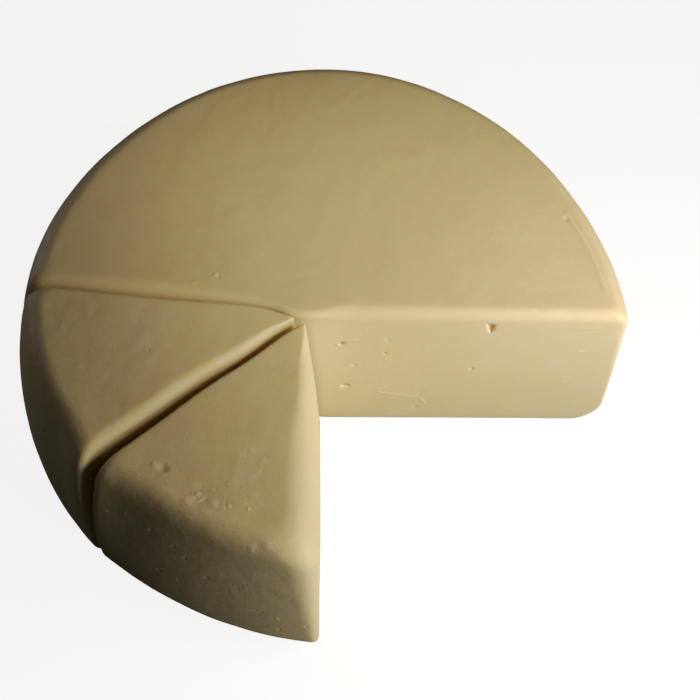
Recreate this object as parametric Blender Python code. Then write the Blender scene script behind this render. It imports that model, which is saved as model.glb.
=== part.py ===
"""A wheel of kasseri cheese with its front right quarter cut away, standing as it was cut.

Three pieces keep the shape of the wheel: the large back piece, which is a little over half of it,
and two wedges on the left. X is to the right, Y to the back and Z up, in metres. The origin is on
the wheel's axis, on the table.
"""

import math
from typing import NamedTuple

import bmesh
import bpy
from mathutils import Vector, noise


class RimWave(NamedTuple):
    """A swell round the rim: how many crests it has, how high they are and the angle of the first."""

    crests: int
    height: float
    first_at: float


class Stray(NamedTuple):
    """A place where the cuts stray at the top of the wheel: its middle, its reach and the shift there."""

    middle: Vector
    reach: float
    shift: Vector


class Cut(NamedTuple):
    """One cut face of a piece.

    It has its direction from the centre, how far it stands back from the line of the cut at the top,
    the radius of its rounded top edge near the tip and at the rim, and how far its corner at the rim
    is rounded.
    """

    angle: float
    open_by: float
    tip_edge: float
    rim_edge: float
    corner_round: float


class Piece(NamedTuple):
    """A sector of the wheel, counterclockwise from its first cut to its last."""

    name: str
    first: Cut
    last: Cut


# The wheel, which isn't quite round
WHEEL_RADIUS = 0.1447
WHEEL_HEIGHT = 0.0935
DOME = 0.0015
RIM_WAVES = (
    RimWave(crests=1, height=0.0032, first_at=306.4),
    RimWave(crests=2, height=0.0040, first_at=126.2),
    RimWave(crests=3, height=0.0032, first_at=78.0),
)

# The side: it leans in above a foot that has settled wider, most of all at the back left
FOOT_WIDTH = 0.020
FOOT_HEIGHT = 0.017
LEAN_START = 0.021
LEAN = 0.0081
LEAN_TO_LEFT = 0.0060
LEAN_TO_BACK = 0.0024
TOP_EDGE_RADIUS = 0.0079

# The cuts, which all start from one point in front of the wheel's axis
CUT_CENTRE = Vector((0.0034, -0.0232))
KNIFE_GAP = 0.0003
RIGHT_CUT = 0.0
LEFT_CUT = 172.6
BACK_OF_DIAGONAL = 216.7
FRONT_OF_DIAGONAL = 218.0
FRONT_CUT = 270.0
CUT_FOOT_RADIUS = 0.0025
TIP_ROUND = 0.0035
CORNER_AT_FOOT = 0.2
TIP_GROWTH = 0.12
EDGE_GROWTH = 0.6
STRAYS = (
    Stray(CUT_CENTRE, reach=0.033, shift=Vector((-0.0060, 0.0))),
    Stray(Vector((-0.026, -0.018)), reach=0.028, shift=Vector((0.0, 0.0018))),
    Stray(Vector((-0.096, -0.096)), reach=0.016, shift=Vector((-0.0028, -0.0045))),
    Stray(Vector((-0.0455, -0.0614)), reach=0.022, shift=Vector((-0.0011, 0.0014))),
    Stray(Vector((-0.001, -0.024)), reach=0.011, shift=Vector((-0.0010, -0.0018))),
)

PIECES = (
    Piece(
        "back_piece",
        Cut(RIGHT_CUT, open_by=0.0003, tip_edge=0.006, rim_edge=0.005, corner_round=0.004),
        Cut(LEFT_CUT, open_by=0.0003, tip_edge=0.003, rim_edge=0.008, corner_round=0.006),
    ),
    Piece(
        "left_wedge",
        Cut(LEFT_CUT, open_by=0.0006, tip_edge=0.0008, rim_edge=0.002, corner_round=0.008),
        Cut(BACK_OF_DIAGONAL, open_by=0.0021, tip_edge=0.0035, rim_edge=0.0065, corner_round=0.003),
    ),
    Piece(
        "front_wedge",
        Cut(FRONT_OF_DIAGONAL, open_by=0.0016, tip_edge=0.0015, rim_edge=0.0015, corner_round=0.006),
        Cut(FRONT_CUT, open_by=0.0003, tip_edge=0.006, rim_edge=0.0145, corner_round=0.014),
    ),
)

# The unevenness of a wheel that was moulded and turned by hand
WAVE_LENGTH = 0.085
WAVE_HEIGHT = 0.0009

# How finely the outline and the sections are divided; the sections lie close together in the top band
TOP_BAND = 0.0145
ARC_STEP = math.radians(5.0)
FACE_STEPS = 9
CORNER_STEPS = 4
FOOT_STEPS = 5
BAND_STEPS = 7
SIDE_STEPS = 4
TOP_RINGS = 4
RIM_TRIES = 5

CHEESE_COLOUR = (0.72, 0.60, 0.36, 1.0)
CHEESE_ROUGHNESS = 0.42


def clear_scene():
    """Removes every object that the file opened with."""
    for obj in list(bpy.data.objects):
        bpy.data.objects.remove(obj, do_unlink=True)


def blend(start, end, share):
    """The value at a share of the way from start to end."""
    return start + (end - start) * share


def ease(share):
    """A share from 0 to 1 with a soft start and stop."""
    share = min(max(share, 0.0), 1.0)
    return share * share * (3.0 - 2.0 * share)


def direction(degrees):
    """The unit vector at an angle counterclockwise from X."""
    return Vector((math.cos(math.radians(degrees)), math.sin(math.radians(degrees))))


def rim_inset(angle, z):
    """How far in the side is at height z, from its foot, its lean and its rounded top edge."""
    rise = max(0.0, z - LEAN_START) / (WHEEL_HEIGHT - LEAN_START)
    inset = (LEAN - LEAN_TO_LEFT * math.cos(angle) + LEAN_TO_BACK * math.sin(angle)) * rise**2
    if z < FOOT_HEIGHT:
        inset += FOOT_WIDTH * (1 - math.sqrt(max(0.0, 1 - (1 - z / FOOT_HEIGHT) ** 2)))
    return inset + rounded_inset(z, TOP_EDGE_RADIUS)


def rounded_inset(z, edge):
    """How far a side is moved in at height z where its top edge is rounded to that radius."""
    rise = max(0.0, z - (WHEEL_HEIGHT - edge))
    return edge - math.sqrt(max(0.0, edge**2 - rise**2))


def on_rim(angle, z):
    """The point of the side at an angle round the axis, at height z."""
    radius = WHEEL_RADIUS - rim_inset(angle, z)
    for wave in RIM_WAVES:
        radius += wave.height * math.cos(wave.crests * (angle - math.radians(wave.first_at)))
    return Vector((radius * math.cos(angle), radius * math.sin(angle)))


def where_cut_ends(start, heading, z):
    """The angle round the axis at which a cut from start along heading meets the side."""
    reach = WHEEL_RADIUS
    for _ in range(RIM_TRIES):
        along = start.dot(heading)
        end = start + heading * (math.sqrt(along**2 + reach**2 - start.length_squared) - along)
        angle = math.atan2(end.y, end.x)
        reach = on_rim(angle, z).length
    return angle


def rounded(before, corner, after):
    """The points of a corner that is rounded off between the points before and after it."""
    points = []
    for step in range(CORNER_STEPS + 1):
        t = step / CORNER_STEPS
        points.append(before * (1 - t) ** 2 + corner * (2 * t * (1 - t)) + after * t**2)
    return points


def spread(start, end, steps):
    """The points strictly between start and end."""
    return [blend(start, end, step / steps) for step in range(1, steps)]


def arc_steps(piece):
    """How many steps the rim of a piece is divided into."""
    return max(4, round(math.radians(piece.last.angle - piece.first.angle) / ARC_STEP))


def tip_of(piece, z, inset):
    """Where the two cut faces of a piece meet at height z, once both are moved in by inset."""
    u0, u1 = direction(piece.first.angle), direction(piece.last.angle)
    n0, n1 = Vector((-u0.y, u0.x)), Vector((u1.y, -u1.x))
    rise = z / WHEEL_HEIGHT
    in0 = blend(KNIFE_GAP, piece.first.open_by, rise) + inset
    in1 = blend(KNIFE_GAP, piece.last.open_by, rise) + inset
    turn = n0.dot(n1)
    return CUT_CENTRE + (n0 * (in0 - in1 * turn) + n1 * (in1 - in0 * turn)) / (1 - turn**2)


def outline(piece, z, inset):
    """The plan of a piece at height z, counterclockwise from its tip, its cut faces moved in by inset."""
    u0, u1 = direction(piece.first.angle), direction(piece.last.angle)
    tip = tip_of(piece, z, inset)
    angle0, angle1 = where_cut_ends(tip, u0, z), where_cut_ends(tip, u1, z)
    if angle1 < angle0:
        angle1 += 2 * math.pi
    end0, end1 = on_rim(angle0, z), on_rim(angle1, z)
    share = blend(CORNER_AT_FOOT, 1, z / WHEEL_HEIGHT)
    round0, round1 = piece.first.corner_round * share, piece.last.corner_round * share
    arc0, arc1 = angle0 + round0 / WHEEL_RADIUS, angle1 - round1 / WHEEL_RADIUS
    near0, near1 = tip + u0 * TIP_ROUND, tip + u1 * TIP_ROUND
    far0, far1 = end0 - u0 * round0, end1 - u1 * round1
    steps = arc_steps(piece)
    points = rounded(near1, tip, near0)
    points += spread(near0, far0, FACE_STEPS)
    points += rounded(far0, end0, on_rim(arc0, z))
    points += [on_rim(blend(arc0, arc1, step / steps), z) for step in range(1, steps)]
    points += rounded(on_rim(arc1, z), end1, far1)
    points += spread(far1, near1, FACE_STEPS)
    return points


def edge_radii(piece):
    """The radius of the rounded top edge at each point of the outline, in the outline's order."""
    first, last = piece.first, piece.last
    at_tip = min(first.tip_edge, last.tip_edge)

    def along_face(cut):
        shares = [s / FACE_STEPS for s in range(1, FACE_STEPS)]
        grown = [blend(cut.tip_edge, cut.rim_edge, ease(share / EDGE_GROWTH)) for share in shares]
        return [blend(at_tip, edge, ease(share / TIP_GROWTH)) for share, edge in zip(shares, grown)]

    steps = arc_steps(piece)
    radii = [at_tip] * (CORNER_STEPS + 1)
    radii += along_face(first)
    radii += [first.rim_edge] * (CORNER_STEPS + 1)
    radii += [blend(first.rim_edge, last.rim_edge, s / steps) for s in range(1, steps)]
    radii += [last.rim_edge] * (CORNER_STEPS + 1)
    radii += along_face(last)[::-1]
    return radii


def face_inset(z, edge):
    """How far a cut face is moved in at height z, by its rounded top edge and its foot."""
    fall = max(0.0, CUT_FOOT_RADIUS - z)
    foot = CUT_FOOT_RADIUS - math.sqrt(CUT_FOOT_RADIUS**2 - fall**2)
    return foot + rounded_inset(z, edge)


def section_heights():
    """The heights of the sections from the table up: close together where the edges are round."""
    shoulder = WHEEL_HEIGHT - TOP_BAND
    foot = [FOOT_HEIGHT * (1 - math.cos(math.pi / 2 * step / FOOT_STEPS)) for step in range(FOOT_STEPS + 1)]
    side = spread(FOOT_HEIGHT, shoulder, SIDE_STEPS)
    band = [shoulder + TOP_BAND * math.sin(math.pi / 2 * step / BAND_STEPS) for step in range(BAND_STEPS + 1)]
    return foot + side + band


def section(piece, z):
    """The outline of a piece at height z, as points in space."""
    outer, inner = outline(piece, z, 0.0), outline(piece, z, TOP_BAND)
    points = []
    for start, end, edge in zip(outer, inner, edge_radii(piece)):
        flat = blend(start, end, face_inset(z, edge) / TOP_BAND)
        points.append(Vector((flat.x, flat.y, z)))
    return points


def by_hand(point):
    """Moves a point of the plain wheel to where it is on the real one. The table side stays flat."""
    lift = point.z / WHEEL_HEIGHT
    flat = point.to_2d()
    moved = point + noise.noise_vector(point / WAVE_LENGTH) * (WAVE_HEIGHT * lift)
    moved.z += DOME * lift * (1 - flat.length_squared / WHEEL_RADIUS**2)
    for stray in STRAYS:
        share = math.exp(-(flat - stray.middle).length_squared / stray.reach**2)
        moved += (stray.shift * share * lift).to_3d()
    return moved


def loft(piece):
    """The closed mesh of a piece: its sections joined from the foot up, and rings across its top."""
    rings = [section(piece, z) for z in section_heights()]
    crown = rings[-1]
    middle = sum(crown, Vector((0, 0, 0))) / len(crown)
    for ring in range(1, TOP_RINGS):
        rings.append([blend(point, middle, ring / TOP_RINGS) for point in crown])
    shape = bmesh.new()
    loops = [[shape.verts.new(by_hand(point)) for point in ring] for ring in rings]
    for lower, upper in zip(loops, loops[1:]):
        for i in range(len(lower)):
            shape.faces.new((lower[i - 1], lower[i], upper[i], upper[i - 1]))
    top = shape.verts.new(by_hand(middle))
    for i in range(len(crown)):
        shape.faces.new((loops[-1][i - 1], loops[-1][i], top))
    shape.faces.new(reversed(loops[0]))
    bmesh.ops.recalc_face_normals(shape, faces=shape.faces)
    return shape


def cheese_material(name):
    """The pale straw yellow of the cheese, the same inside and out."""
    material = bpy.data.materials.new(name)
    material.use_nodes = True
    shader = material.node_tree.nodes["Principled BSDF"]
    shader.inputs["Base Color"].default_value = CHEESE_COLOUR
    shader.inputs["Roughness"].default_value = CHEESE_ROUGHNESS
    shader.inputs["Metallic"].default_value = 0.0
    material.diffuse_color = CHEESE_COLOUR
    return material


def add_piece(piece, collection):
    """Makes one piece of the wheel as its own object."""
    shape = loft(piece)
    mesh = bpy.data.meshes.new(piece.name)
    shape.to_mesh(mesh)
    shape.free()
    mesh.shade_smooth()
    mesh.set_sharp_from_angle(angle=math.radians(60))
    mesh.materials.append(cheese_material(piece.name + "_cheese"))
    collection.objects.link(bpy.data.objects.new(piece.name, mesh))


def main():
    """Builds the cut wheel in a collection of its own."""
    clear_scene()
    wheel = bpy.data.collections.new("kasseri_wheel")
    bpy.context.scene.collection.children.link(wheel)
    for piece in PIECES:
        add_piece(piece, wheel)


main()
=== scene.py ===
"""A cut wheel of kasseri cheese: its fine surface, its finish, and the table and light round it.

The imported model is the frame. Each of its three pieces gets a finer skin, which follows the same
wheel and cuts and adds the eyes, dents and blisters of the real cheese. Lengths are in metres, Z
is up, and plan positions are complex numbers, X real and Y imaginary.
"""

import math
from typing import NamedTuple
import bmesh
import bpy
import numpy as np
from mathutils import Matrix, Vector, noise


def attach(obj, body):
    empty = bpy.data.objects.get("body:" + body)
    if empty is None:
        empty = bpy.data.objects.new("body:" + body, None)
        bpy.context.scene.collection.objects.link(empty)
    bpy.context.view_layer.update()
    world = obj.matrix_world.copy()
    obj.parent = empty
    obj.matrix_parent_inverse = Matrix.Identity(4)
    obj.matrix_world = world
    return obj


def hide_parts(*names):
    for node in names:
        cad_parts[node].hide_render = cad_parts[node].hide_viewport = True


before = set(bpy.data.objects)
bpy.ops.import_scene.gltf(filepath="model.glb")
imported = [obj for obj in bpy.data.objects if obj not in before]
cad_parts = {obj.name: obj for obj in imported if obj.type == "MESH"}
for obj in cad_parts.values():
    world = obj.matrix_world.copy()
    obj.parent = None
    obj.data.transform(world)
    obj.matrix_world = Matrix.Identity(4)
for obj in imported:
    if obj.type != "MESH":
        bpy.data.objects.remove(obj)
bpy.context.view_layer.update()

bl_info = {
    "name": "Cut Kasseri Wheel",
    "version": (1, 0, 0),
    "blender": (4, 5, 0),
    "location": "View3D > Sidebar > Kasseri",
    "description": "Builds a cut wheel of kasseri cheese with its finish, table and light",
    "category": "Object",
}


class Cut(NamedTuple):
    """One cut face: its direction, how far it opens at the top, and its rounded edges."""

    angle: float
    open_by: float
    tip_edge: float
    rim_edge: float
    corner_round: float


class Piece(NamedTuple):
    """A sector of the wheel, counterclockwise from its first cut to its last."""

    name: str
    first: Cut
    last: Cut


WHEEL_RADIUS = 0.1447
WHEEL_HEIGHT = 0.0935
DOME = 0.0015
RIM_WAVES = ((1, 0.0032, 306.4), (2, 0.0040, 126.2), (3, 0.0032, 78.0))
FOOT_WIDTH = 0.020
FOOT_HEIGHT = 0.017
LEAN_START = 0.021
LEAN = 0.0081
LEAN_TO_LEFT = 0.0060
LEAN_TO_BACK = 0.0024
TOP_EDGE_RADIUS = 0.0079
CUT_CENTRE = 0.0034 - 0.0232j
KNIFE_GAP = 0.0003
RIGHT_CUT = 0.0
LEFT_CUT = 172.6
BACK_OF_DIAGONAL = 216.7
FRONT_OF_DIAGONAL = 218.0
FRONT_CUT = 270.0
CUT_FOOT_RADIUS = 0.0025
TIP_ROUND = 0.0035
CORNER_AT_FOOT = 0.2
TIP_GROWTH = 0.12
EDGE_GROWTH = 0.6
STRAYS = (
    (CUT_CENTRE, 0.033, -0.0060 + 0.0j),
    (-0.026 - 0.018j, 0.028, 0.0018j),
    (-0.096 - 0.096j, 0.016, -0.0028 - 0.0045j),
    (-0.0455 - 0.0614j, 0.022, -0.0011 + 0.0014j),
    (-0.001 - 0.024j, 0.011, -0.0010 - 0.0018j),
)
WAVE_LENGTH = 0.085
WAVE_HEIGHT = 0.0009
WAVE_SEED = 1795873404
RIM_TRIES = 5

# Where the lights are turned to, their colours and sizes, and how bright tones are shown
CHEESE_MIDDLE = Vector((0.0, -0.02, 0.05))
RIGHT_OF_TOP = Vector((0.07, 0.02, 0.09))
MIDDLE_OF_TOP = Vector((0.045, 0.02, 0.09))
KEY_COLOUR = (1.0, 0.98, 0.94)
SIDE_COLOUR = (1.0, 0.87, 0.72)
KEY_SIZE = 0.26
SIDE_SIZE = 0.15
FILL_SIZE = 0.28
POOL_CONE = math.radians(8.2)
POOL_RADIUS = 0.10
BACKDROP_TONE = 1.3
SHOULDER = 0.3
SHOULDER_SLOPE = 0.72

# The camera: its place, and how far it is turned right, tilted down and rolled, in degrees
CAMERA_EYE = (0.0036, -0.3259, 0.5300)
CAMERA_TURN = 2.458
CAMERA_DOWN = 56.895
CAMERA_ROLL = 2.447

BACK_PIECE = Piece(
    "back_piece",
    Cut(RIGHT_CUT, 0.0003, 0.006, 0.005, 0.004),
    Cut(LEFT_CUT, 0.0003, 0.003, 0.008, 0.006),
)
LEFT_WEDGE = Piece(
    "left_wedge",
    Cut(LEFT_CUT, 0.0010, 0.0008, 0.002, 0.008),
    Cut(BACK_OF_DIAGONAL, 0.0021, 0.0035, 0.0065, 0.003),
)
FRONT_WEDGE = Piece(
    "front_wedge",
    Cut(FRONT_OF_DIAGONAL, 0.0016, 0.0015, 0.0015, 0.006),
    Cut(FRONT_CUT, 0.0003, 0.006, 0.0145, 0.014),
)

# How finely the skin is divided; its rows lie close together in the top band
TOP_BAND = 0.0145
ARC_STEP = math.radians(0.65)
FACE_STEPS = 76
CORNER_STEPS = 12
FOOT_STEPS = 10
SIDE_STEPS = 40
BAND_STEPS = 20
TOP_RINGS = 40
REFINE_PASSES = 3
REFINE_REACH = 1.35

# The low waves of the skin and of the cut faces, as their lengths and heights in millimetres
BROAD_LENGTH = 15.0
FINE_LENGTH = 4.5
DRAWN_LENGTHS = (55.0, 55.0, 5.5)
RAGGED_LENGTH = 1.1
SKIN_BROAD = 0.16
SKIN_FINE = 0.055
FACE_BROAD = 0.07
FACE_DRAWN = 0.06
FACE_FINE = 0.02


def ease(share):
    """A share from 0 to 1 with a soft start and stop."""
    share = np.clip(share, 0.0, 1.0)
    return share * share * (3.0 - 2.0 * share)


def heading(degrees):
    """The direction at an angle counterclockwise from X."""
    return np.exp(1j * np.radians(degrees))


def dot(a, b):
    """The dot product of two plan directions."""
    return (a * np.conj(b)).real


def rounded_inset(z, edge):
    """How far a side is moved in at height z where its top edge is rounded to that radius."""
    rise = np.maximum(0.0, z - (WHEEL_HEIGHT - edge))
    return edge - np.sqrt(np.maximum(0.0, edge**2 - rise**2))


def on_rim(angle, z):
    """The points of the side at some angles round the axis, at height z."""
    rise = max(0.0, z - LEAN_START) / (WHEEL_HEIGHT - LEAN_START)
    lean = LEAN - LEAN_TO_LEFT * np.cos(angle) + LEAN_TO_BACK * np.sin(angle)
    radius = WHEEL_RADIUS - lean * rise**2 - rounded_inset(z, TOP_EDGE_RADIUS)
    if z < FOOT_HEIGHT:
        radius = radius - FOOT_WIDTH * (1 - math.sqrt(max(0.0, 1 - (1 - z / FOOT_HEIGHT) ** 2)))
    for crests, height, first_at in RIM_WAVES:
        radius = radius + height * np.cos(crests * (angle - math.radians(first_at)))
    return radius * np.exp(1j * angle)


def where_cut_ends(start, along, z):
    """The angle round the axis at which a cut from start meets the side."""
    reach = WHEEL_RADIUS
    for _ in range(RIM_TRIES):
        here = dot(start, along)
        end = start + along * (math.sqrt(here**2 + reach**2 - abs(start) ** 2) - here)
        angle = float(np.angle(end))
        reach = abs(on_rim(angle, z))
    return angle


def rounded(before, corner, after):
    """The points of a corner that is rounded off between the points before and after it."""
    t = np.linspace(0, 1, CORNER_STEPS + 1)
    return before * (1 - t) ** 2 + corner * 2 * t * (1 - t) + after * t**2


def between(start, end, steps):
    """The points strictly between start and end."""
    return start + (end - start) * (np.arange(1, steps) / steps)


def arc_steps(piece):
    """How many steps the rim of a piece is divided into."""
    return max(8, round(math.radians(piece.last.angle - piece.first.angle) / ARC_STEP))


def tip_of(piece, z, inset):
    """Where the two cut faces of a piece meet at height z, once both are moved in by inset."""
    n0, n1 = 1j * heading(piece.first.angle), -1j * heading(piece.last.angle)
    rise = z / WHEEL_HEIGHT
    in0 = KNIFE_GAP + (piece.first.open_by - KNIFE_GAP) * rise + inset
    in1 = KNIFE_GAP + (piece.last.open_by - KNIFE_GAP) * rise + inset
    turn = dot(n0, n1)
    return CUT_CENTRE + (n0 * (in0 - in1 * turn) + n1 * (in1 - in0 * turn)) / (1 - turn**2)


def outline(piece, z, inset):
    """The plan of a piece at height z, counterclockwise from its tip."""
    u0, u1 = heading(piece.first.angle), heading(piece.last.angle)
    tip = tip_of(piece, z, inset)
    angle0, angle1 = where_cut_ends(tip, u0, z), where_cut_ends(tip, u1, z)
    if angle1 < angle0:
        angle1 += 2 * math.pi
    end0, end1 = on_rim(angle0, z), on_rim(angle1, z)
    share = CORNER_AT_FOOT + (1 - CORNER_AT_FOOT) * z / WHEEL_HEIGHT
    round0, round1 = piece.first.corner_round * share, piece.last.corner_round * share
    arc0, arc1 = angle0 + round0 / WHEEL_RADIUS, angle1 - round1 / WHEEL_RADIUS
    near0, near1 = tip + u0 * TIP_ROUND, tip + u1 * TIP_ROUND
    far0, far1 = end0 - u0 * round0, end1 - u1 * round1
    return np.concatenate([
        rounded(near1, tip, near0),
        between(near0, far0, FACE_STEPS),
        rounded(far0, end0, on_rim(arc0, z)),
        on_rim(between(arc0, arc1, arc_steps(piece)), z),
        rounded(on_rim(arc1, z), end1, far1),
        between(far1, near1, FACE_STEPS),
    ])


def along_outline(piece, at_tip, first, rim, last):
    """One array in the outline's order, from an array for each stretch of it."""
    corner, arc = np.ones(CORNER_STEPS + 1), np.ones(arc_steps(piece) - 1)
    return np.concatenate([at_tip * corner, first, rim[0] * corner, rim[1] * arc, rim[2] * corner, last])


def edge_radii(piece):
    """The radius of the rounded top edge at each point of the outline."""
    first, last = piece.first, piece.last
    at_tip = min(first.tip_edge, last.tip_edge)
    share = np.arange(1, FACE_STEPS) / FACE_STEPS
    along_first, along_last = (
        at_tip + (cut.tip_edge - at_tip + (cut.rim_edge - cut.tip_edge) * ease(share / EDGE_GROWTH))
        * ease(share / TIP_GROWTH) for cut in (first, last)
    )
    steps = arc_steps(piece)
    round_rim = first.rim_edge + (last.rim_edge - first.rim_edge) * np.arange(1, steps) / steps
    rim = (first.rim_edge, round_rim, last.rim_edge)
    return along_outline(piece, at_tip, along_first, rim, along_last[::-1])


def cut_columns(piece):
    """1 at the points of the outline that lie on a cut face, falling to 0 round the rim."""
    face = np.ones(FACE_STEPS - 1)
    to_rim = np.linspace(1, 0, CORNER_STEPS + 1)
    return along_outline(piece, 1.0, face, (to_rim, 0.0, to_rim[::-1]), face)


def row_heights():
    """The heights of the rows from the table up, close together where the edges are round."""
    quarter = np.pi / 2 * np.arange(FOOT_STEPS + 1) / FOOT_STEPS
    shoulder = WHEEL_HEIGHT - TOP_BAND
    foot = FOOT_HEIGHT * (1 - np.cos(quarter))
    side = between(FOOT_HEIGHT, shoulder, SIDE_STEPS)
    band = shoulder + TOP_BAND * np.sin(np.pi / 2 * np.arange(BAND_STEPS + 1) / BAND_STEPS)
    return np.concatenate([foot, side, band])


def by_hand(points):
    """Moves points of the plain wheel to where they are on the real one. The table side stays flat."""
    noise.seed_set(WAVE_SEED)
    lift = points[:, 2] / WHEEL_HEIGHT
    plan = points[:, 0] + 1j * points[:, 1]
    sway = np.array([noise.noise_vector(Vector(p) / WAVE_LENGTH) for p in points])
    moved = points + sway * (WAVE_HEIGHT * lift)[:, None]
    moved[:, 2] += DOME * lift * (1 - np.abs(plan) ** 2 / WHEEL_RADIUS**2)
    for middle, reach, shift in STRAYS:
        share = np.exp(-(np.abs(plan - middle) ** 2) / reach**2) * lift
        moved[:, 0] += shift.real * share
        moved[:, 1] += shift.imag * share
    return moved


def skin_of(piece):
    """The closed fine mesh of a piece, with how much each point lies on a cut face."""
    edges, on_cut = edge_radii(piece), cut_columns(piece)
    rows, cuts = [], []
    for z in row_heights():
        outer, inner = outline(piece, z, 0.0), outline(piece, z, TOP_BAND)
        fall = max(0.0, CUT_FOOT_RADIUS - z)
        foot = CUT_FOOT_RADIUS - math.sqrt(CUT_FOOT_RADIUS**2 - fall**2)
        inset = foot + rounded_inset(z, edges)
        flat = outer + (inner - outer) * inset / TOP_BAND
        rows.append(np.stack([flat.real, flat.imag, np.full(len(flat), z)], axis=1))
        cuts.append(on_cut * (1 - ease((inset - foot) / edges)))
    crown = rows[-1]
    middle = crown.mean(axis=0)
    for ring in range(1, TOP_RINGS):
        rows.append(crown + (middle - crown) * (ring / TOP_RINGS))
        cuts.append(on_cut * 0)
    points = by_hand(np.concatenate(rows + [middle[None]]))
    around, levels = len(crown), len(rows)
    index = np.arange(around * levels).reshape(levels, around)
    here, back = index, np.roll(index, 1, axis=1)
    sides = np.stack([back[:-1], here[:-1], here[1:], back[1:]], axis=2).reshape(-1, 4)
    top = np.stack([back[-1], here[-1], np.full(around, around * levels)], axis=1)
    faces = sides.tolist() + top.tolist() + [index[0, ::-1].tolist()]
    mesh = bpy.data.meshes.new(piece.name + "_skin")
    mesh.from_pydata(points.tolist(), [], faces)
    cut_values = mesh.attributes.new("cut", "FLOAT", "POINT").data
    cut_values.foreach_set("value", np.append(np.concatenate(cuts), 0.0))
    return mesh


class Mark(NamedTuple):
    """A round place that is raised or, below zero, sunk.

    It has its middle, its reach, its height, how steep its wall is from 0 to 1, how much paler it
    is, how much longer than wide it is along a direction, and how ragged its border is.
    """

    at: tuple
    reach: float
    height: float
    steep: float = 0.2
    pale: float = 0.0
    longer: float = 1.0
    along: tuple = (1.0, 0.0, 0.0)
    ragged: float = 0.2


class Line(NamedTuple):
    """A crease or ridge through some points: its points, its half width, its height and paleness."""

    through: tuple
    reach: float
    height: float
    pale: float = 0.0
    ragged: float = 0.2


class Chip(NamedTuple):
    """A three-cornered piece broken out of a face: its corners, its depth and its deepest corner."""

    corners: tuple
    depth: float
    deepest: int
    pale: float = 0.0
    ragged: float = 0.0


MM = 0.001

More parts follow.
